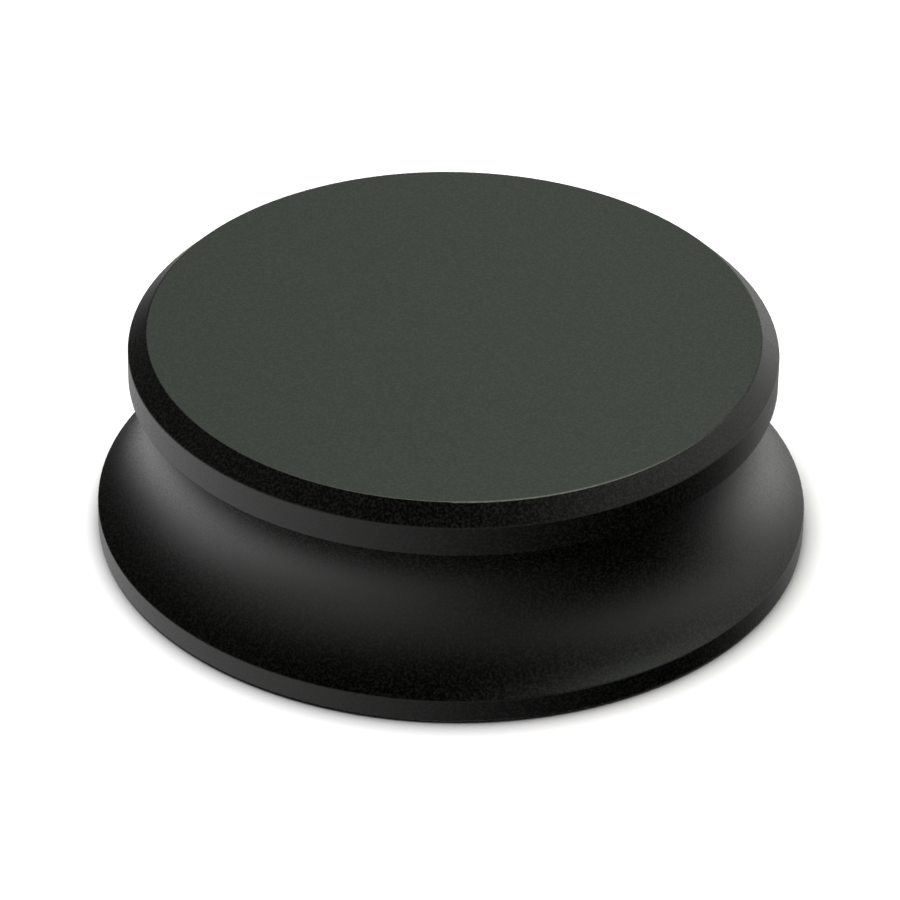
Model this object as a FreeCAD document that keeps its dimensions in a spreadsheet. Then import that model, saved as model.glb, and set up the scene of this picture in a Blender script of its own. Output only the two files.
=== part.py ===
"""Turntable display stand: a turned platter that spins on a coved base.

The origin is the centre of the base's footprint on the table, +Z is up and every size is in
millimetres. The platter is screwed to a flanged spindle. A thrust ball bearing carries it and a
deep-groove ball bearing guides the spindle's lower end.
"""
import FreeCAD, Part
import math
import os
import re

import Sketcher

# Driving dimensions: alias, value, what it measures.
SIZES = [
    ("base_radius", 50.0, "outer radius of the base's rim"),
    ("rim_height", 3.4, "height of the base's straight rim"),
    ("waist_radius", 42.5, "smallest radius of the cove"),
    ("cove_radius", 17.5, "radius of the cove's arc"),
    ("foot_height", 0.3, "how far the anti-slip ring stands proud of the base"),
    ("foot_groove_depth", 1.4, "depth of the anti-slip ring's groove"),
    ("foot_inner_radius", 39.5, "inner radius of the anti-slip ring"),
    ("foot_outer_radius", 46.0, "outer radius of the anti-slip ring"),
    ("reveal_gap", 0.4, "gap between the base's neck and the platter"),
    ("platter_underside", 24.0, "height of the platter's underside above the table"),
    ("platter_radius", 45.35, "radius of the platter's band"),
    ("platter_thickness", 7.2, "thickness of the platter"),
    ("platter_chamfer", 2.55, "45 degree chamfer round the top"),
    ("platter_edge_round", 0.35, "rounding of the platter's outer edges"),
    ("edge_round", 0.25, "rounding of the other outer edges"),
    ("flange_radius", 23.0, "radius of the spindle's flange"),
    ("flange_thickness", 3.0, "thickness of the spindle's flange"),
    ("flange_recess", 2.0, "depth that the flange is let into the platter"),
    ("flange_clearance", 0.6, "radial room round the flange in the base's neck"),
    ("flange_gap", 0.4, "room below the flange in the base's neck"),
    ("flange_screw_circle", 18.9, "radius of the circle of flange screws"),
    ("flange_screw_count", 4, "number of flange screws"),
    ("flange_screw_length", 6.0, "length of a flange screw, head included"),
    ("flange_screw_radius", 1.5, "thread radius of a flange screw"),
    ("flange_screw_head", 3.0, "head radius of a flange screw"),
    ("flange_hole_depth", 3.6, "depth of the tapped holes in the platter"),
    ("thrust_bore_radius", 8.5, "bore radius of the thrust bearing's shaft washer"),
    ("thrust_outer_radius", 15.0, "outer radius of the thrust bearing"),
    ("thrust_height", 9.0, "height of the thrust bearing"),
    ("thrust_washer", 3.0, "thickness of each thrust washer"),
    ("thrust_relief", 0.4, "radial step between a thrust washer and the part it must not rub on"),
    ("thrust_pitch_radius", 11.75, "radius of the thrust bearing's circle of balls"),
    ("thrust_ball_radius", 2.38, "radius of a thrust ball"),
    ("thrust_ball_count", 12, "number of thrust balls"),
    ("thrust_cage_thickness", 2.2, "thickness of the thrust cage"),
    ("thrust_cage_inner", 8.9, "inner radius of the thrust cage"),
    ("thrust_cage_outer", 14.6, "outer radius of the thrust cage"),
    ("web_thickness", 1.2, "web between the two bearing seats"),
    ("web_bore_radius", 8.2, "hole through the web"),
    ("spring_height", 0.8, "height of the wave spring as fitted"),
    ("spring_thickness", 0.3, "strip thickness of the wave spring"),
    ("spring_inner_radius", 8.9, "inner radius of the wave spring"),
    ("spring_outer_radius", 10.7, "outer radius of the wave spring"),
    ("spring_waves", 3, "number of waves in the wave spring"),
    ("radial_bore_radius", 4.0, "bore radius of the deep-groove bearing"),
    ("radial_outer_radius", 11.0, "outer radius of the deep-groove bearing"),
    ("radial_width", 7.0, "width of the deep-groove bearing"),
    ("radial_inner_shoulder", 6.05, "shoulder radius of the inner ring"),
    ("radial_outer_shoulder", 9.15, "shoulder radius of the outer ring"),
    ("radial_pitch_radius", 7.55, "radius of the deep-groove bearing's circle of balls"),
    ("radial_ball_radius", 1.985, "radius of a deep-groove ball"),
    ("radial_ball_count", 7, "number of deep-groove balls"),
    ("race_play", 0.03, "running play between a ball and its raceway"),
    ("pocket_play", 0.06, "play between a ball and its cage pocket"),
    ("cage_strip", 0.4, "sheet thickness of the stamped cage"),
    ("cage_inner_radius", 6.5, "inner radius of the stamped cage"),
    ("cage_outer_radius", 8.7, "outer radius of the stamped cage"),
    ("rivet_radius", 0.4, "radius of a cage rivet"),
    ("rivet_head_radius", 0.7, "radius of a cage rivet's head"),
    ("rivet_head_height", 0.25, "height of a cage rivet's head"),
    ("shield_thickness", 0.3, "sheet thickness of a bearing shield"),
    ("shield_inset", 0.35, "depth of a shield below the bearing's face"),
    ("shield_inner_radius", 6.4, "inner radius of a bearing shield"),
    ("shield_seat_radius", 9.6, "radius of the shield's seat in the outer ring"),
    ("bearing_chamfer", 0.3, "chamfer on the bearing rings' corners"),
    ("neck_radius", 5.5, "radius of the spindle between the bearings"),
    ("journal_setback", 0.2, "how far the spindle ends short of the inner ring's lower face"),
    ("end_cap_radius", 5.9, "radius of the spindle's end cap"),
    ("end_cap_thickness", 2.4, "thickness of the spindle's end cap"),
    ("end_screw_radius", 2.0, "thread radius of the end cap's screw"),
    ("end_screw_head", 3.9, "head radius of the end cap's screw"),
    ("end_screw_length", 10.0, "length of the end cap's screw, head included"),
    ("end_hole_depth", 9.0, "depth of the tapped hole in the spindle's end"),
    ("cover_radius", 23.0, "radius of the bottom cover"),
    ("cover_thickness", 1.5, "thickness of the bottom cover"),
    ("cover_inset", 0.2, "depth of the bottom cover below the base's lower face"),
    ("cover_fit", 0.1, "radial room round the bottom cover and the platter's flange"),
    ("cover_screw_circle", 17.5, "radius of the circle of cover screws"),
    ("cover_screw_count", 4, "number of cover screws"),
    ("cover_screw_radius", 1.25, "thread radius of a cover screw"),
    ("cover_screw_head", 2.4, "head radius of a cover screw"),
    ("cover_screw_length", 6.0, "length of a cover screw, head included"),
    ("cover_hole_depth", 6.0, "depth of the tapped holes for the cover screws"),
    ("screw_land", 0.2, "straight edge of a countersunk head"),
    ("screw_tip", 0.3, "chamfer on a screw's end"),
    ("hole_play", 0.15, "radial play of a screw in its clearance hole"),
]

# Heights and radii that follow from the driving dimensions.
DERIVED = {
    "rim_top": "foot_height + rim_height",
    "neck_top": "platter_underside - reveal_gap",
    "cove_centre_radius": "waist_radius + cove_radius",
    "cove_centre_height": "rim_top + sqrt(cove_radius ^ 2 - (cove_centre_radius - base_radius) ^ 2)",
    "neck_top_radius": "cove_centre_radius - sqrt(cove_radius ^ 2 - (neck_top - cove_centre_height) ^ 2)",
    "flange_top": "platter_underside + flange_recess",
    "flange_bottom": "flange_top - flange_thickness",
    "thrust_seat": "flange_bottom - thrust_height",
    "thrust_centre": "thrust_seat + thrust_height / 2",
    "web_bottom": "thrust_seat - web_thickness",
    "radial_top": "web_bottom - spring_height",
    "radial_bottom": "radial_top - radial_width",
    "radial_centre": "radial_bottom + radial_width / 2",
    "end_cap_bottom": "radial_bottom - end_cap_thickness",
    "spindle_end": "radial_bottom + journal_setback",
    "cover_bottom": "foot_height + cover_inset",
    "cover_top": "cover_bottom + cover_thickness",
    "cage_shell_radius": "radial_ball_radius + pocket_play + cage_strip",
    "shield_seat_depth": "shield_inset + shield_thickness",
}

SHEET_NAME = "Sizes"

doc = FreeCAD.newDocument("TurntableStand")


def fill_sheet():
    """Put every driving dimension in the sheet, one row each."""
    sizes = doc.addObject("Spreadsheet::Sheet", SHEET_NAME)
    for row, (alias, number, meaning) in enumerate(SIZES, start=1):
        sizes.set(f"A{row}", meaning)
        sizes.set(f"B{row}", str(number))
        sizes.setAlias(f"B{row}", alias)
    doc.recompute()
    return sizes


sheet = fill_sheet()
ALIASES = {alias for alias, _, _ in SIZES}


def formula(text):
    """Turn a formula in plain aliases into an expression that reads the sheet."""

    def expand(match):
        word = match.group(0)
        if word in DERIVED:
            return "(" + formula(DERIVED[word]) + ")"
        if word in ALIASES:
            return f"{SHEET_NAME}.{word}"
        return word

    return re.sub(r"[a-z][a-z_]*", expand, text)


def value(text):
    """The number that a formula gives now."""
    return float(sheet.evalExpression(formula(text)))


def bind(item, **settings):
    """Bind properties of a document object to formulas. A double underscore stands for a dot."""
    for path, text in settings.items():
        item.setExpression(path.replace("__", "."), formula(text))


def new_body(label, compound=False):
    """An empty body whose label is its node name."""
    body = doc.addObject("PartDesign::Body", label)
    body.Label = label
    body.AllowCompound = compound
    return body


def origin_part(body, role):
    """One of the body's own origin planes or axes."""
    return next(item for item in body.Origin.OriginFeatures if item.Role == role)


def finish_with(body, feature):
    """Make a feature the last one of its body."""
    body.Tip = feature
    doc.recompute()
    return feature


# ---------------------------------------------------------------- sketches

def arc_between(start, end, radius, bulge):
    """A circular arc through two points. bulge is 1 when its centre is left of the way there."""
    chord = end - start
    middle = start + chord * 0.5
    sideways = FreeCAD.Vector(-chord.y, chord.x, 0).normalize()
    centre = middle + sideways * bulge * math.sqrt(radius ** 2 - (chord.Length / 2) ** 2)
    first = math.atan2(start.y - centre.y, start.x - centre.x)
    last = math.atan2(end.y - centre.y, end.x - centre.x)
    if bulge < 0:
        first, last = last, first
    circle = Part.Circle(centre, FreeCAD.Vector(0, 0, 1), radius)
    return Part.ArcOfCircle(circle, first, last)


def section_sketch(body, name, corners):
    """A closed half section in the XZ plane.

    A corner is (radius, height), as formulas. A corner (radius, height, arc radius, bulge) is
    followed by an arc in place of a straight edge.
    """
    sketch = body.newObject("Sketcher::SketchObject", name)
    sketch.AttachmentSupport = (origin_part(body, "XZ_Plane"), "")
    sketch.MapMode = "FlatFace"
    spots = [FreeCAD.Vector(value(corner[0]), value(corner[1]), 0) for corner in corners]
    ends = []
    for index, corner in enumerate(corners):
        start = spots[index]
        end = spots[(index + 1) % len(spots)]
        if len(corner) > 2:
            sketch.addGeometry(arc_between(start, end, value(corner[2]), corner[3]), False)
            ends.append((2, 1) if corner[3] < 0 else (1, 2))
        else:
            sketch.addGeometry(Part.LineSegment(start, end), False)
            ends.append((1, 2))
    for index, corner in enumerate(corners):
        following = (index + 1) % len(corners)
        joint = (index, ends[index][1], following, ends[following][0])
        sketch.addConstraint(Sketcher.Constraint("Coincident", *joint))
        pin_point(sketch, index, ends[index][0], corner[0], corner[1])
        if len(corner) > 2:
            number = sketch.addConstraint(Sketcher.Constraint("Radius", index, value(corner[2])))
            sketch.setExpression(f"Constraints[{number}]", formula(corner[2]))
    return sketch


def pin_point(sketch, geometry, end, across, up):
    """Hold a sketch point at a distance across and up from the sketch's origin."""
    for kind, axis, text in (("DistanceX", -2, across), ("DistanceY", -1, up)):
        amount = value(text)
        if amount == 0:
            sketch.addConstraint(Sketcher.Constraint("PointOnObject", geometry, end, axis))
            continue
        number = sketch.addConstraint(Sketcher.Constraint(kind, -1, 1, geometry, end, amount))
        sketch.setExpression(f"Constraints[{number}]", formula(text))


def circle_sketch(body, name, plane, across, up, radius, lift="0"):
    """A circle on one of the body's origin planes, lifted off that plane along its normal."""
    sketch = body.newObject("Sketcher::SketchObject", name)
    sketch.AttachmentSupport = (origin_part(body, plane), "")
    sketch.MapMode = "FlatFace"
    bind(sketch, AttachmentOffset__Base__z=lift)
    centre = FreeCAD.Vector(value(across), value(up), 0)
    circle = Part.Circle(centre, FreeCAD.Vector(0, 0, 1), value(radius))
    sketch.addGeometry(circle, False)
    number = sketch.addConstraint(Sketcher.Constraint("Radius", 0, value(radius)))
    sketch.setExpression(f"Constraints[{number}]", formula(radius))
    pin_point(sketch, 0, 3, across, up)
    return sketch


# ---------------------------------------------------------------- features

def turned(body, corners):
    """Turn a closed half section about the Z axis, as a lathe does."""
    sketch = section_sketch(body, body.Label + "_section", corners)
    turning = body.newObject("PartDesign::Revolution", body.Label + "_turning")
    turning.Profile = sketch
    turning.ReferenceAxis = (sketch, ["V_Axis"])
    turning.Angle = 360
    return finish_with(body, turning)


def turned_ring(body, inner, outer, bottom, top):
    """A ring with a square section."""
    return turned(body, [(inner, bottom), (outer, bottom), (outer, top), (inner, top)])


def groove(body, sketch):
    """Cut a sketched section into the body, all the way round the Z axis."""
    before = body.Shape.Volume
    cut = body.newObject("PartDesign::Groove", sketch.Name + "_groove")
    cut.Profile = sketch
    cut.ReferenceAxis = (sketch, ["V_Axis"])
    cut.Angle = 360
    finish_with(body, cut)
    if body.Shape.Volume >= before:
        raise ValueError(f"{cut.Name} removes nothing")
    return cut


def raceway(body, pitch, height, ball):
    """Grind the groove that the balls run in."""
    sketch = circle_sketch(body, body.Label + "_race", "XZ_Plane", pitch, height, f"{ball} + race_play")
    return groove(body, sketch)


def primitive(body, kind, name, across="0", aside="0", up="0", **sizes):
    """Add or subtract a PartDesign primitive that stands at (across, aside, up)."""
    item = body.newObject(f"PartDesign::{kind}", f"{body.Label}_{name}")
    bind(item, Placement__Base__x=across, Placement__Base__y=aside, Placement__Base__z=up, **sizes)
    return finish_with(body, item)


def bore(body, name, radius, bottom, top, across="0"):
    """Drill a round hole along Z, from bottom to top."""
    before = body.Shape.Volume
    depth = f"{top} - ({bottom})"
    hole = primitive(body, "SubtractiveCylinder", name, across, up=bottom, Radius=radius, Height=depth)
    if body.Shape.Volume >= before:
        raise ValueError(f"{hole.Name} removes nothing")
    return hole


def repeat_round(body, features, count):
    """Repeat features evenly round the Z axis."""
    pattern = body.newObject("PartDesign::PolarPattern", body.Label + "_pattern")
    pattern.Originals = features
    pattern.Axis = (origin_part(body, "Z_Axis"), [""])
    pattern.Angle = 360
    bind(pattern, Occurrences=count)
    return finish_with(body, pattern)


def ring_edges(feature, spots):
    """Names of the full circular edges at the given (radius, height) spots."""
    wanted = [(value(radius), value(height)) for radius, height in spots]
    names = []
    for number, edge in enumerate(feature.Shape.Edges, start=1):
        if not isinstance(edge.Curve, Part.Circle):
            continue
        for radius, height in wanted:
            same_radius = abs(edge.Curve.Radius - radius) < 1e-4
            same_height = abs(edge.Curve.Center.z - height) < 1e-4
            if same_radius and same_height:
                names.append(f"Edge{number}")
    if len(names) != len(wanted):
        raise ValueError(f"{feature.Name}: found {len(names)} of {len(wanted)} edges")
    return names


def chamfer(body, spots, size):
    """Chamfer circular edges of the body's last feature."""
    base = body.Tip
    cut = body.newObject("PartDesign::Chamfer", body.Label + "_chamfer")
    cut.Base = (base, ring_edges(base, spots))
    bind(cut, Size=size)
    return finish_with(body, cut)


def fillet(body, spots, radius):
    """Round circular edges of the body's last feature."""
    base = body.Tip
    blend = body.newObject("PartDesign::Fillet", body.Label + "_fillet")
    blend.Base = (base, ring_edges(base, spots))
    bind(blend, Radius=radius)
    return finish_with(body, blend)


def countersunk_holes(body, circle, count, bottom, top, thread, head):
    """Countersunk clearance holes through a plate, with their heads at the plate's lower face."""
    depth = f"{top} - ({bottom})"
    taper = f"{head} - {thread}"
    shank = f"{thread} + hole_play"
    through = primitive(
        body, "SubtractiveCylinder", "clearance", circle, up=bottom, Radius=shank, Height=depth
    )
    land = primitive(
        body, "SubtractiveCylinder", "land", circle, up=bottom, Radius=head, Height="screw_land"
    )
    sink = primitive(
        body, "SubtractiveCone", "sink", circle, up=f"{bottom} + screw_land",
        Radius1=head, Radius2=thread, Height=taper,
    )
    if value(count) > 1:
        repeat_round(body, [through, land, sink], count)


def countersunk_screws(label, circle, count, bottom, length, thread, head):
    """Socket countersunk screws, heads down, evenly spaced on a circle."""
    body = new_body(label, compound=True)
    taper = f"{head} - {thread}"
    land = primitive(
        body, "AdditiveCylinder", "land", circle, up=bottom, Radius=head, Height="screw_land"
    )
    cone = primitive(
        body, "AdditiveCone", "head", circle, up=f"{bottom} + screw_land",
        Radius1=head, Radius2=thread, Height=taper,
    )
    straight = f"{length} - screw_land - ({taper}) - screw_tip"
    shank = primitive(
        body, "AdditiveCylinder", "shank", circle, up=f"{bottom} + screw_land + {taper}",
        Radius=thread, Height=straight,
    )
    tip = primitive(
        body, "AdditiveCone", "tip", circle, up=f"{bottom} + {length} - screw_tip",
        Radius1=thread, Radius2=f"{thread} - screw_tip", Height="screw_tip",
    )
    socket = primitive(
        body, "SubtractivePrism", "socket", circle, up=bottom,
        Circumradius=f"{thread} * 0.75", Height=f"{taper}",
    )
    if value(count) > 1:
        repeat_round(body, [land, cone, shank, tip, socket], count)
    return body


def balls(label, pitch, height, radius, count):
    """A ring of separate steel balls."""
    body = new_body(label, compound=True)
    ball = primitive(body, "AdditiveSphere", "ball", pitch, up=height, Radius=radius)
    repeat_round(body, [ball], count)
    return body


# ---------------------------------------------------------------- what turns with the platter

def platter_disc():
    """The top disc: chamfered above, recessed below for the spindle's flange."""
    body = new_body("platter_disc")
    outline = circle_sketch(
        body, "platter_outline", "XY_Plane", "0", "0", "platter_radius", lift="platter_underside"
    )
    blank = body.newObject("PartDesign::Pad", "platter_blank")
    blank.Profile = outline
    bind(blank, Length="platter_thickness")
    finish_with(body, blank)
    top = "platter_underside + platter_thickness"
    chamfer(body, [("platter_radius", top)], "platter_chamfer")
    edges = [
        ("platter_radius - platter_chamfer", top),
        ("platter_radius", f"{top} - platter_chamfer"),
        ("platter_radius", "platter_underside"),
    ]
    fillet(body, edges, "platter_edge_round")
    bore(body, "flange_recess", "flange_radius + cover_fit", "platter_underside", "flange_top")
    tapped = bore(
        body, "tapped_hole", "flange_screw_radius", "flange_top",
        "flange_top + flange_hole_depth", "flange_screw_circle",
    )
    repeat_round(body, [tapped], "flange_screw_count")


def spindle():
    """The flanged spindle: flange, thrust washer seat, neck and journal."""
    body = new_body("spindle")
    seat_bottom = "flange_bottom - thrust_washer + screw_tip"
    turned(body, [
        ("0", "spindle_end"),
        ("radial_bore_radius", "spindle_end"),
        ("radial_bore_radius", "radial_top"),
        ("neck_radius", "radial_top"),
        ("neck_radius", seat_bottom),
        ("thrust_bore_radius", seat_bottom),
        ("thrust_bore_radius", "flange_bottom"),
        ("flange_radius", "flange_bottom"),
        ("flange_radius", "flange_top"),
        ("0", "flange_top"),
    ])
    edges = [
        ("flange_radius", "flange_bottom"),
        ("flange_radius", "flange_top"),
        ("radial_bore_radius", "spindle_end"),
        ("neck_radius", "radial_top"),
    ]
    chamfer(body, edges, "bearing_chamfer")
    bore(body, "tapped_hole", "end_screw_radius", "spindle_end", "spindle_end + end_hole_depth")
    countersunk_holes(
        body, "flange_screw_circle", "flange_screw_count", "flange_bottom", "flange_top",
        "flange_screw_radius", "flange_screw_head",
    )


def thrust_shaft_washer():
    """The washer that turns with the spindle, under the flange."""
    body = new_body("thrust_shaft_washer")
    bottom = "flange_bottom - thrust_washer"
    outer = "thrust_outer_radius - thrust_relief"
    turned_ring(body, "thrust_bore_radius", outer, bottom, "flange_bottom")
    chamfer(body, [(outer, "flange_bottom"), (outer, bottom)], "bearing_chamfer")
    raceway(body, "thrust_pitch_radius", "thrust_centre", "thrust_ball_radius")


def radial_inner_ring():
    """The deep-groove bearing's inner ring, clamped on the spindle."""
    body = new_body("radial_inner_ring")
    turned_ring(body, "radial_bore_radius", "radial_inner_shoulder", "radial_bottom", "radial_top")
    corners = [("radial_bore_radius", "radial_bottom"), ("radial_bore_radius", "radial_top")]
    chamfer(body, corners, "bearing_chamfer")
    raceway(body, "radial_pitch_radius", "radial_centre", "radial_ball_radius")


def spindle_end_cap():
    """The disc that clamps the inner ring against the spindle's shoulder."""
    body = new_body("spindle_end_cap")
    turned(body, [
        ("0", "end_cap_bottom"),
        ("end_cap_radius", "end_cap_bottom"),
        ("end_cap_radius", "radial_bottom"),
        ("0", "radial_bottom"),
    ])
    chamfer(body, [("end_cap_radius", "end_cap_bottom")], "bearing_chamfer")
    countersunk_holes(
        body, "0", "1", "end_cap_bottom", "radial_bottom", "end_screw_radius", "end_screw_head"
    )


# ---------------------------------------------------------------- what stands still

def base_body():
    """The turned base: rim, cove and neck outside, two bearing seats inside."""
    body = new_body("base_body")
    turned(body, [
        ("0", "foot_height"),
        ("base_radius", "foot_height"),
        ("base_radius", "rim_top", "cove_radius", -1),
        ("neck_top_radius", "neck_top"),
        ("0", "neck_top"),
    ])
    edges = [
        ("base_radius", "foot_height"),
        ("base_radius", "rim_top"),
        ("neck_top_radius", "neck_top"),
    ]
    fillet(body, edges, "edge_round")
    flange_floor = "flange_bottom - flange_gap"
    bore(body, "flange_room", "flange_radius + flange_clearance", flange_floor, "neck_top")
    bore(body, "thrust_pocket", "thrust_outer_radius", "thrust_seat", flange_floor)
    bore(body, "web_hole", "web_bore_radius", "web_bottom", "thrust_seat")
    bore(body, "radial_pocket", "radial_outer_radius", "cover_top", "web_bottom")
    bore(body, "cover_recess", "cover_radius + cover_fit", "foot_height", "cover_top")
    groove(body, section_sketch(body, "foot_seat", [
        ("foot_inner_radius", "foot_height"),
        ("foot_outer_radius", "foot_height"),
        ("foot_outer_radius", "foot_height + foot_groove_depth"),
        ("foot_inner_radius", "foot_height + foot_groove_depth"),
    ]))
    tapped = bore(
        body, "tapped_hole", "cover_screw_radius", "cover_top", "cover_top + cover_hole_depth",
        "cover_screw_circle",
    )
    repeat_round(body, [tapped], "cover_screw_count")


def thrust_housing_washer():
    """The washer that lies in the base, with a bore wide enough to clear the spindle."""
    body = new_body("thrust_housing_washer")
    inner = "thrust_bore_radius + thrust_relief"
    top = "thrust_seat + thrust_washer"
    turned_ring(body, inner, "thrust_outer_radius", "thrust_seat", top)
    corners = [("thrust_outer_radius", "thrust_seat"), ("thrust_outer_radius", top)]
    chamfer(body, corners, "bearing_chamfer")
    raceway(body, "thrust_pitch_radius", "thrust_centre", "thrust_ball_radius")


def radial_outer_ring():
    """The deep-groove bearing's outer ring, stepped at both ends for the shields."""
    body = new_body("radial_outer_ring")
    turned(body, [
        ("shield_seat_radius", "radial_bottom"),
        ("radial_outer_radius", "radial_bottom"),
        ("radial_outer_radius", "radial_top"),
        ("shield_seat_radius", "radial_top"),
        ("shield_seat_radius", "radial_top - shield_seat_depth"),
        ("radial_outer_shoulder", "radial_top - shield_seat_depth"),
        ("radial_outer_shoulder", "radial_bottom + shield_seat_depth"),
        ("shield_seat_radius", "radial_bottom + shield_seat_depth"),
    ])
    corners = [("radial_outer_radius", "radial_bottom"), ("radial_outer_radius", "radial_top")]
    chamfer(body, corners, "bearing_chamfer")
    raceway(body, "radial_pitch_radius", "radial_centre", "radial_ball_radius")


def radial_shield(label, bottom):
    """A pressed steel shield in the outer ring."""
    body = new_body(label)
    turned_ring(
        body, "shield_inner_radius", "shield_seat_radius", bottom, f"{bottom} + shield_thickness"
    )


def bottom_cover():
    """The plate that closes the bearing's chamber from below."""
    body = new_body("bottom_cover")
    turned(body, [
        ("0", "cover_bottom"),
        ("cover_radius", "cover_bottom"),
        ("cover_radius", "cover_top"),
        ("0", "cover_top"),
    ])
    chamfer(body, [("cover_radius", "cover_bottom")], "edge_round")
    countersunk_holes(
        body, "cover_screw_circle", "cover_screw_count", "cover_bottom", "cover_top",
        "cover_screw_radius", "cover_screw_head",
    )


def foot_ring():
    """The anti-slip ring that the stand rests on."""
    body = new_body("foot_ring")
    turned_ring(
        body, "foot_inner_radius", "foot_outer_radius", "0", "foot_height + foot_groove_depth"
    )
    fillet(body, [("foot_inner_radius", "0"), ("foot_outer_radius", "0")], "edge_round")


def preload_spring():
    """The wave spring: a flat strip, waved between the web and the outer ring."""
    item = doc.addObject("Part::Feature", "preload_spring")
    item.Label = "preload_spring"
    thickness = value("spring_thickness")
    rise = (value("spring_height") - thickness) / 2
    waves = int(value("spring_waves"))
    steps = 16 * waves

    def waved_edge(radius, lift):
        points = []
        for step in range(steps):
            turn = 2 * math.pi * step / steps
            height = rise * math.sin(waves * turn) + lift
            points.append(FreeCAD.Vector(radius * math.cos(turn), radius * math.sin(turn), height))
        curve = Part.BSplineCurve()
        curve.interpolate(points, PeriodicFlag=True)
        return curve.toShape()

    inner = value("spring_inner_radius")
    outer = value("spring_outer_radius")
    corners = [(inner, 0), (outer, 0), (outer, thickness), (inner, thickness)]
    edges = [waved_edge(radius, lift) for radius, lift in corners]
    faces = []
    for number, edge in enumerate(edges):
        faces.append(Part.makeRuledSurface(edge, edges[(number + 1) % len(edges)]))
    strip = Part.makeSolid(Part.makeShell(faces))
    if strip.Volume < 0:
        strip.reverse()
    item.Shape = strip
    bind(item, Placement__Base__z="radial_top + (spring_height - spring_thickness) / 2")


# ---------------------------------------------------------------- the rolling sets

def thrust_cage():
    """The thrust bearing's brass cage, a ring with a round pocket for each ball."""
    body = new_body("thrust_cage")
    bottom = "thrust_centre - thrust_cage_thickness / 2"
    top = "thrust_centre + thrust_cage_thickness / 2"
    turned_ring(body, "thrust_cage_inner", "thrust_cage_outer", bottom, top)
    pocket = bore(
        body, "pocket", "thrust_ball_radius + pocket_play", bottom, top, "thrust_pitch_radius"
    )
    repeat_round(body, [pocket], "thrust_ball_count")


def radial_cage_half(label, side):
    """Half of the stamped ribbon cage: side is 1 for the upper half and -1 for the lower."""
    item = doc.addObject("Part::Feature", label)
    item.Label = label
    inner = value("cage_inner_radius")
    outer = value("cage_outer_radius")
    strip = value("cage_strip")
    pitch = value("radial_pitch_radius")
    shell = value("cage_shell_radius")
    count = int(value("radial_ball_count"))
    middle = FreeCAD.Vector(0, 0, 0)
    up = FreeCAD.Vector(0, 0, 1)
    ribbon = Part.makeCylinder(outer, strip)
    cups = []
    pockets = []
    for number in range(count):
        turn = 2 * math.pi * number / count
        centre = FreeCAD.Vector(pitch * math.cos(turn), pitch * math.sin(turn), 0)
        cups.append(Part.makeSphere(shell, centre))
        pockets.append(Part.makeSphere(shell - strip, centre))
    drum = Part.makeCylinder(outer, shell * 2).cut(Part.makeCylinder(inner, shell * 2))
    half = ribbon.fuse(cups).common(drum).cut(Part.makeCompound(pockets))
    for number in range(count):
        turn = 2 * math.pi * (number + 0.5) / count
        foot = FreeCAD.Vector(pitch * math.cos(turn), pitch * math.sin(turn), 0)
        half = half.cut(Part.makeCylinder(value("rivet_radius"), strip, foot))
    half = half.removeSplitter().Solids[0]
    if side < 0:
        half = half.mirror(middle, up)
    item.Shape = half
    bind(item, Placement__Base__z="radial_centre")


def radial_cage_rivets():
    """The rivets that join the two cage halves, midway between the balls."""
    body = new_body("radial_cage_rivets", compound=True)
    half_step = "180 deg / radial_ball_count"
    across = f"radial_pitch_radius * cos({half_step})"
    aside = f"radial_pitch_radius * sin({half_step})"
    shank = primitive(
        body, "AdditiveCylinder", "shank", across, aside, "radial_centre - cage_strip",
        Radius="rivet_radius", Height="cage_strip * 2",
    )
    lower = primitive(
        body, "AdditiveCylinder", "lower_head", across, aside,
        "radial_centre - cage_strip - rivet_head_height",
        Radius="rivet_head_radius", Height="rivet_head_height",
    )
    upper = primitive(
        body, "AdditiveCylinder", "upper_head", across, aside, "radial_centre + cage_strip",
        Radius="rivet_head_radius", Height="rivet_head_height",
    )
    repeat_round(body, [shank, lower, upper], "radial_ball_count")


# ---------------------------------------------------------------- build, check and write

platter_disc()
spindle()
countersunk_screws(
    "flange_screws", "flange_screw_circle", "flange_screw_count", "flange_bottom",
    "flange_screw_length", "flange_screw_radius", "flange_screw_head",
)
thrust_shaft_washer()
radial_inner_ring()
spindle_end_cap()
countersunk_screws(
    "end_cap_screw", "0", "1", "end_cap_bottom",
    "end_screw_length", "end_screw_radius", "end_screw_head",
)
base_body()
thrust_housing_washer()
radial_outer_ring()
radial_shield("radial_shield_upper", "radial_top - shield_seat_depth")
radial_shield("radial_shield_lower", "radial_bottom + shield_inset")
preload_spring()
bottom_cover()
countersunk_screws(
    "cover_screws", "cover_screw_circle", "cover_screw_count", "cover_bottom",
    "cover_screw_length", "cover_screw_radius", "cover_screw_head",
)
foot_ring()
thrust_cage()
balls(
    "thrust_balls", "thrust_pitch_radius", "thrust_centre", "thrust_ball_radius", "thrust_ball_count"
)
radial_cage_half("radial_cage_upper", 1)
radial_cage_half("radial_cage_lower", -1)
radial_cage_rivets()
balls(
    "radial_balls", "radial_pitch_radius", "radial_centre", "radial_ball_radius", "radial_ball_count"
)
doc.recompute()

for item in doc.Objects:
    if "Invalid" in item.State or "Error" in item.State:
        raise ValueError(f"{item.Name} did not compute: {item.State}")

pieces = [item for item in doc.Objects if item.TypeId in ("PartDesign::Body", "Part::Feature")]
for item in pieces:
    if item.Shape.isNull() or not item.Shape.isValid():
        raise ValueError(f"{item.Label} has no valid shape")

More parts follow.
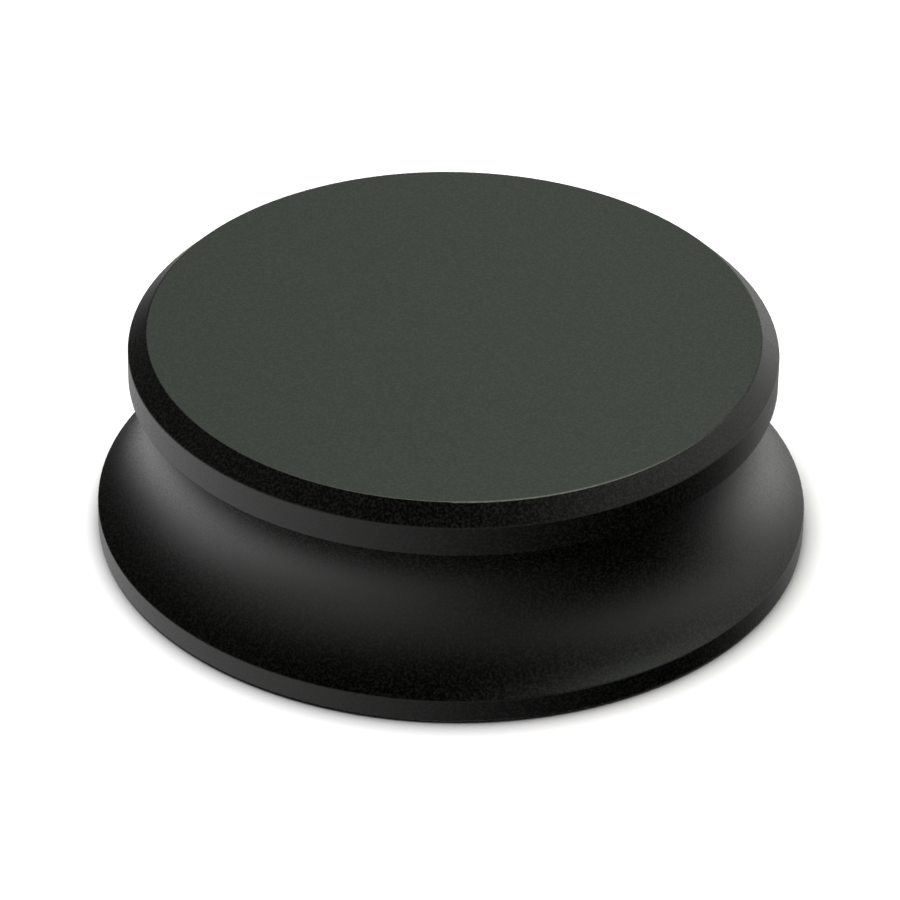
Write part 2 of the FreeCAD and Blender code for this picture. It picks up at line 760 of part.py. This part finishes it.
os.makedirs("parts", exist_ok=True)
for item in pieces:
    item.Shape.exportStep(f"parts/{item.Label}.step")
    box = item.Shape.BoundBox
    print(
        f"{item.Label}: {len(item.Shape.Solids)} solid(s), {item.Shape.Volume:.2f} mm3,"
        f" z {box.ZMin:.2f} to {box.ZMax:.2f}, radius {max(box.XMax, box.YMax):.2f}"
    )
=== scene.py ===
"""Looks of a turntable display stand: materials, floor, light and camera round its CAD frame.

Everything is in metres, in the frame of the CAD model: +Z is up, the stand rests on z = 0
and turns about the Z axis. Angles in the tables are in degrees.
"""

from math import pi, radians

import bpy
from mathutils import Matrix, Vector

MM = 0.001

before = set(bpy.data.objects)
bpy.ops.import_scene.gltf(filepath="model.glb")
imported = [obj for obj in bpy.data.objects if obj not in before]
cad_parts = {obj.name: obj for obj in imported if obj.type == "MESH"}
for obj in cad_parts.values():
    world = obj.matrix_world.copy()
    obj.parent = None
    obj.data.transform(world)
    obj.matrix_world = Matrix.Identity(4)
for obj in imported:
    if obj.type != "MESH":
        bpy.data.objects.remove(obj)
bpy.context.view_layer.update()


# ---------------------------------------------------------------- material building blocks

class Finish:
    """One procedural material: a Principled shader and the nodes that vary it."""

    def __init__(self, slot, colour, roughness, metallic=0.0):
        self.material = bpy.data.materials.new(slot)
        self.material.use_nodes = True
        self.tree = self.material.node_tree
        self.shader = self.tree.nodes["Principled BSDF"]
        self.colour = colour
        self.roughness = roughness
        self.normal = None
        self.shader.inputs["Metallic"].default_value = metallic
        self.place = self.add("ShaderNodeTexCoord").outputs["Object"]

    def add(self, kind, inputs=None, **settings):
        """Adds a node. An input takes a number, a colour or another node's output."""
        node = self.tree.nodes.new(kind)
        for name, value in settings.items():
            setattr(node, name, value)
        for socket, value in (inputs or {}).items():
            self.feed(node.inputs[socket], value)
        return node

    def feed(self, socket, value):
        if isinstance(value, bpy.types.NodeSocket):
            self.tree.links.new(value, socket)
        else:
            socket.default_value = value

    def math(self, operation, first, second=0.0):
        node = self.add("ShaderNodeMath", {0: first, 1: second}, operation=operation)
        return node.outputs[0]

    def noise(self, size, detail=2.0, rough=0.5):
        """Noise from 0 to 1 whose features are about size metres across."""
        inputs = {"Vector": self.place, "Scale": 1 / size, "Detail": detail, "Roughness": rough}
        return self.add("ShaderNodeTexNoise", inputs).outputs["Fac"]

    def lathe_lines(self, pitch):
        """Uneven rings about the Z axis, on flat faces and on cylinders alike."""
        xyz = self.add("ShaderNodeSeparateXYZ", {0: self.place}).outputs
        across = self.math("POWER", self.math("ADD", self.math("POWER", xyz["X"], 2.0),
                                              self.math("POWER", xyz["Y"], 2.0)), 0.5)
        along = self.math("ADD", across, xyz["Z"])
        inputs = {"W": along, "Scale": 1 / pitch, "Detail": 3.0, "Roughness": 0.6}
        return self.add("ShaderNodeTexNoise", inputs, noise_dimensions="1D").outputs["Fac"]

    def levels(self, value, low, high, start=0.0, end=1.0):
        """Stretches value, from start..end to low..high, and holds it there."""
        inputs = {"Value": value, "From Min": start, "From Max": end, "To Min": low, "To Max": high}
        return self.add("ShaderNodeMapRange", inputs).outputs["Result"]

    def edges(self, radius):
        """1 along sharp edges and 0 on open faces, over about radius metres."""
        rounded = self.add("ShaderNodeBevel", {"Radius": radius}, samples=4).outputs["Normal"]
        plain = self.add("ShaderNodeNewGeometry").outputs["Normal"]
        inputs = {0: rounded, 1: plain}
        cosine = self.add("ShaderNodeVectorMath", inputs, operation="DOT_PRODUCT").outputs["Value"]
        return self.levels(cosine, 1.0, 0.0, start=0.80, end=0.99)

    def tint(self, factor, other):
        """Blends the colour towards another one where factor is high."""
        node = self.add("ShaderNodeMix", data_type="RGBA")
        self.feed(node.inputs["Factor"], factor)
        self.feed(node.inputs["A"], self.colour)
        self.feed(node.inputs["B"], other)
        self.colour = node.outputs["Result"]

    def roughen(self, value, amount):
        """Adds a swing of up to amount either way to the roughness, as value goes from 0.3 to 0.7."""
        swing = self.levels(value, -amount, amount, start=0.3, end=0.7)
        self.roughness = self.math("ADD", self.roughness, swing)

    def bump(self, height, depth):
        """Raises the surface by height times depth metres."""
        inputs = {"Strength": 1.0, "Distance": depth, "Height": height}
        if self.normal:
            inputs["Normal"] = self.normal
        self.normal = self.add("ShaderNodeBump", inputs).outputs["Normal"]

    def done(self):
        """Plugs the colour, roughness and normal into the shader."""
        self.feed(self.shader.inputs["Base Color"], self.colour)
        self.feed(self.shader.inputs["Roughness"], self.roughness)
        if self.normal:
            self.feed(self.shader.inputs["Normal"], self.normal)
        return self.material


def rgb(red, green, blue):
    return (red, green, blue, 1.0)


def grey(value):
    return rgb(value, value, value)


# ---------------------------------------------------------------- the materials

def blasted_anodised(slot):
    """Bead-blasted aluminium, anodised black: fine even pits, satin, a little thin at edges."""
    dye, fleck, worn_dye = grey(0.0008), rgb(0.0130, 0.0130, 0.0114), grey(0.05)
    finish = Finish(slot, dye, roughness=0.28)
    pits = finish.noise(0.37 * MM, detail=1.0)
    cloud = finish.noise(9 * MM, detail=4.0)
    finish.tint(finish.levels(pits, 0.0, 1.0, start=0.46, end=0.64), fleck)
    edge = finish.edges(0.22 * MM)
    worn = finish.math("MULTIPLY", edge, finish.levels(pits, 0.2, 1.0, start=0.35, end=0.6))
    finish.tint(finish.math("MULTIPLY", worn, 0.35), worn_dye)
    finish.roughen(cloud, 0.012)
    finish.roughen(pits, 0.075)
    finish.bump(pits, 0.008 * MM)
    return finish.done()


def turned_anodised(slot):
    """Turned and then anodised black: the tool's rings show through the satin."""
    dye, thin_dye, worn_dye = grey(0.013), rgb(0.022, 0.022, 0.021), grey(0.06)
    finish = Finish(slot, dye, roughness=0.27)
    rings = finish.lathe_lines(0.22 * MM)
    cloud = finish.noise(7 * MM, detail=4.0)
    finish.tint(finish.levels(rings, 0.0, 0.5, start=0.35, end=0.7), thin_dye)
    finish.tint(finish.math("MULTIPLY", finish.edges(0.2 * MM), 0.5), worn_dye)
    finish.roughen(cloud, 0.03)
    finish.roughen(rings, 0.04)
    finish.bump(rings, 0.004 * MM)
    return finish.done()


def turned_metal(slot, colour, shade, roughness, pitch, depth):
    """Bare metal off the lathe or the grinder, with a thin film of oil in places."""
    bright_edge = rgb(0.85, 0.85, 0.83)
    finish = Finish(slot, colour, roughness, metallic=1.0)
    rings = finish.lathe_lines(pitch)
    film = finish.noise(4 * MM, detail=5.0, rough=0.6)
    finish.tint(finish.levels(film, 0.0, 0.6, start=0.45, end=0.75), shade)
    finish.tint(finish.math("MULTIPLY", finish.edges(0.12 * MM), 0.6), bright_edge)
    finish.roughen(film, 0.05)
    finish.roughen(rings, 0.03)
    finish.bump(rings, depth)
    finish.bump(finish.noise(0.12 * MM, detail=2.0), depth / 2)
    return finish.done()


def polished_steel(slot):
    """Lapped bearing balls: a mirror with faint haze and hairline scuffs."""
    steel, hazy_steel = rgb(0.66, 0.66, 0.65), rgb(0.52, 0.52, 0.50)
    finish = Finish(slot, steel, roughness=0.06, metallic=1.0)
    haze = finish.noise(1.2 * MM, detail=4.0, rough=0.6)
    scuffs = finish.noise(0.08 * MM, detail=3.0, rough=0.7)
    finish.tint(finish.levels(haze, 0.0, 0.5, start=0.45, end=0.75), hazy_steel)
    finish.roughen(haze, 0.025)
    finish.bump(scuffs, 0.0002 * MM)
    return finish.done()


def pressed_metal(slot, colour, shade, roughness):
    """Sheet or strip formed in a die: mottled, with fine drawing marks."""
    bright_edge = rgb(0.80, 0.80, 0.78)
    finish = Finish(slot, colour, roughness, metallic=1.0)
    mottle = finish.noise(1.5 * MM, detail=5.0, rough=0.65)
    marks = finish.noise(0.15 * MM, detail=3.0, rough=0.6)
    finish.tint(finish.levels(mottle, 0.0, 0.8, start=0.4, end=0.7), shade)
    finish.tint(finish.math("MULTIPLY", finish.edges(0.08 * MM), 0.5), bright_edge)
    finish.roughen(mottle, 0.06)
    finish.bump(marks, 0.002 * MM)
    return finish.done()


def black_oxide(slot):
    """Alloy-steel screws with a black oxide skin, rubbed lighter on their edges."""
    oxide, brown_oxide = rgb(0.035, 0.034, 0.033), rgb(0.060, 0.053, 0.047)
    bare_steel = rgb(0.22, 0.21, 0.20)
    finish = Finish(slot, oxide, roughness=0.36, metallic=1.0)
    patches = finish.noise(1.0 * MM, detail=5.0, rough=0.65)
    grit = finish.noise(0.10 * MM, detail=2.0)
    finish.tint(finish.levels(patches, 0.0, 0.8, start=0.4, end=0.7), brown_oxide)
    edge = finish.edges(0.14 * MM)
    rubbed = finish.math("MULTIPLY", edge, finish.levels(patches, 0.3, 1.0, start=0.3, end=0.6))
    finish.tint(rubbed, bare_steel)
    finish.roughen(patches, 0.07)
    finish.bump(grit, 0.003 * MM)
    return finish.done()


def moulded_silicone(slot):
    """Matt charcoal silicone with the mould's fine texture and a trace of dust."""
    charcoal, dusty = rgb(0.020, 0.020, 0.021), rgb(0.075, 0.073, 0.070)
    finish = Finish(slot, charcoal, roughness=0.62)
    texture = finish.noise(0.35 * MM, detail=3.0, rough=0.6)
    dust = finish.noise(2.2 * MM, detail=6.0, rough=0.7)
    finish.tint(finish.levels(dust, 0.0, 0.5, start=0.52, end=0.78), dusty)
    finish.roughen(texture, 0.06)
    finish.bump(texture, 0.012 * MM)
    return finish.done()


def materials():
    """The finish of every material slot in the record."""
    steel, dull_steel = rgb(0.58, 0.58, 0.57), rgb(0.40, 0.40, 0.39)
    oiled_steel = rgb(0.42, 0.41, 0.39)
    ground_steel, oiled_ground_steel = rgb(0.64, 0.64, 0.63), rgb(0.50, 0.50, 0.48)
    brass, brown_brass = rgb(0.80, 0.58, 0.27), rgb(0.55, 0.36, 0.15)
    blue_temper, straw_temper = rgb(0.30, 0.31, 0.36), rgb(0.36, 0.30, 0.24)
    return {
        "platter_anodised": blasted_anodised("platter_anodised"),
        "base_anodised": blasted_anodised("base_anodised"),
        "cover_anodised": turned_anodised("cover_anodised"),
        "spindle_steel": turned_metal("spindle_steel", steel, oiled_steel,
                                      roughness=0.27, pitch=0.20 * MM, depth=0.0020 * MM),
        "bearing_steel": turned_metal("bearing_steel", ground_steel, oiled_ground_steel,
                                      roughness=0.16, pitch=0.10 * MM, depth=0.0006 * MM),
        "ball_steel": polished_steel("ball_steel"),
        "cage_brass": turned_metal("cage_brass", brass, brown_brass,
                                   roughness=0.26, pitch=0.18 * MM, depth=0.0020 * MM),
        "cage_steel": pressed_metal("cage_steel", steel, dull_steel, roughness=0.30),
        "spring_steel": pressed_metal("spring_steel", blue_temper, straw_temper, roughness=0.24),
        "black_oxide_screw": black_oxide("black_oxide_screw"),
        "silicone_foot": moulded_silicone("silicone_foot"),
    }


def finish_nodes():
    """Gives each CAD node the finish of its own slots."""
    finishes = materials()
    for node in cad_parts.values():
        for slot in node.material_slots:
            slot.material = finishes[slot.material.name.split(".")[0]]


# ---------------------------------------------------------------- floor, light and camera

WHITE = grey(1.0)
BLACK = grey(0.0)

# Soft patches of light, as seen from the stand. Azimuth 0 is on the camera's side (-Y) and
# 90 on the right (+X). Spread is how far a patch reaches from its middle, sideways and up,
# and a spread of 720 sideways is all round. Each patch fades outwards as a bell curve.
#              azimuth, elevation, spreads, strength, colour
SOFT_LIGHTS = {
    "table_left": (257, -27, (64, 14), 1.12, (1.00, 1.00, 1.00)),
    "card_left": (268, -10, (27, 13), 0.54, (1.00, 1.00, 1.00)),
    "wall_front_left": (319, -8, (53, 35), 0.65, (1.00, 1.00, 0.98)),
    "wall_right": (95, 20, (64, 20), 0.72, (1.00, 1.00, 0.94)),
    "wall_back_right": (137, -10, (30, 20), 1.00, (1.00, 1.00, 0.99)),
    "window_back": (180, 46, (17, 42), 0.60, (0.78, 1.00, 0.79)),
    "softbox_back": (145, 66, (56, 18), 4.85, (0.93, 1.00, 0.87)),
    "under_back": (180, -40, (30, 10), 0.20, (1.00, 1.00, 1.00)),
    "under": (0, -90, (720, 10), 1.60, (1.00, 1.00, 1.00)),
}


def make_lights():
    """Studio light: soft patches all round the stand, and white to the camera itself."""
    world = bpy.data.worlds.new("studio")
    bpy.context.scene.world = world
    world.use_nodes = True
    tree = world.node_tree

    def add(kind, inputs, **settings):
        node = tree.nodes.new(kind)
        for name, value in settings.items():
            setattr(node, name, value)
        for socket, value in inputs.items():
            if isinstance(value, bpy.types.NodeSocket):
                tree.links.new(value, node.inputs[socket])
            else:
                node.inputs[socket].default_value = value
        return node

    def math(operation, *values):
        return add("ShaderNodeMath", dict(enumerate(values)), operation=operation).outputs[0]

    def squared(value):
        return math("MULTIPLY", value, value)

    direction = add("ShaderNodeTexCoord", {}).outputs["Generated"]
    xyz = add("ShaderNodeSeparateXYZ", {0: direction}).outputs
    azimuth = math("ARCTAN2", xyz["X"], math("MULTIPLY", xyz["Y"], -1.0))
    elevation = math("ARCSINE", xyz["Z"])
    light = (0.0, 0.0, 0.0)
    for turn, height, (side, rise), strength, colour in SOFT_LIGHTS.values():
        across = math("WRAP", math("SUBTRACT", azimuth, radians(turn)), -pi, pi)
        across = math("DIVIDE", across, radians(side))
        up = math("DIVIDE", math("SUBTRACT", elevation, radians(height)), radians(rise))
        distance = math("ADD", squared(across), squared(up))
        glow = math("MULTIPLY", math("EXPONENT", math("MULTIPLY", distance, -1.0)), strength)
        light = add("ShaderNodeVectorMath", {0: colour, 1: glow, 2: light},
                    operation="MULTIPLY_ADD").outputs["Vector"]
    seen = add("ShaderNodeMix", {}, data_type="RGBA")
    tree.links.new(add("ShaderNodeLightPath", {}).outputs["Is Camera Ray"], seen.inputs["Factor"])
    tree.links.new(light, seen.inputs["A"])
    seen.inputs["B"].default_value = WHITE
    background = tree.nodes["Background"]
    tree.links.new(seen.outputs["Result"], background.inputs["Color"])


def make_floor():
    """A plain white floor that only the camera sees, and the overhead light that whitens it."""
    reach = 20.0
    level = -0.02 * MM   # just clear of the stand's own underside
    shadow_reach = 3.2 * MM
    mesh = bpy.data.meshes.new("floor")
    corners = [(x * reach, y * reach, level) for x, y in ((-1, -1), (1, -1), (1, 1), (-1, 1))]
    mesh.from_pydata(corners, [], [(0, 1, 2, 3)])
    floor = bpy.data.objects.new("floor", mesh)
    bpy.context.scene.collection.objects.link(floor)
    floor.visible_diffuse = False
    floor.visible_glossy = False
    floor.visible_shadow = False

    # The paper darkens close to the stand, as its soft shadow, and is clear from below.
    paper = Finish("floor_paper", rgb(0.80, 0.78, 0.80), roughness=1.0)
    near = paper.add("ShaderNodeAmbientOcclusion", {"Distance": shadow_reach}, samples=8)
    paper.tint(paper.math("SUBTRACT", 1.0, near.outputs["AO"]), BLACK)
    paper.shader.inputs["Specular IOR Level"].default_value = 0.0
    paper.done()
    underneath = paper.add("ShaderNodeNewGeometry").outputs["Backfacing"]
    clear = paper.add("ShaderNodeBsdfTransparent").outputs["BSDF"]
    inputs = {0: underneath, 1: paper.shader.outputs["BSDF"], 2: clear}
    sheet = paper.add("ShaderNodeMixShader", inputs).outputs["Shader"]
    paper.feed(paper.tree.nodes["Material Output"].inputs["Surface"], sheet)
    mesh.materials.append(paper.material)

    lit = bpy.data.collections.new("floor_only")
    lit.objects.link(floor)
    overhead = bpy.data.lights.new("overhead", "SUN")
    overhead.energy = 3.9
    overhead.angle = radians(60)
    lamp = bpy.data.objects.new("overhead", overhead)
    lamp.rotation_euler.y = radians(-15)   # from a little to the left
    bpy.context.scene.collection.objects.link(lamp)
    lamp.light_linking.receiver_collection = lit


def make_camera():
    """A long lens on the stand from a third of the way up, with a slight roll."""
    camera = bpy.data.cameras.new("camera")
    camera.lens = 216.8
    camera.sensor_width = 36.0
    camera.clip_start = 0.01
    holder = bpy.data.objects.new("camera", camera)
    bpy.context.scene.collection.objects.link(holder)
    bpy.context.scene.camera = holder
    eye = Vector((0.0, -0.6365, 0.4342))
    target = Vector((-0.00027, 0.0, 0.01099))
    roll = Matrix.Rotation(radians(0.98), 4, "Z")
    look = (eye - target).to_track_quat("Z", "Y").to_matrix().to_4x4()
    holder.matrix_world = Matrix.Translation(eye) @ look @ roll


def use_plain_colours():
    """Shows the scene's colours as they are, with no film curve."""
    bpy.context.scene.view_settings.view_transform = "Standard"


finish_nodes()
make_lights()
make_floor()
make_camera()
use_plain_colours()
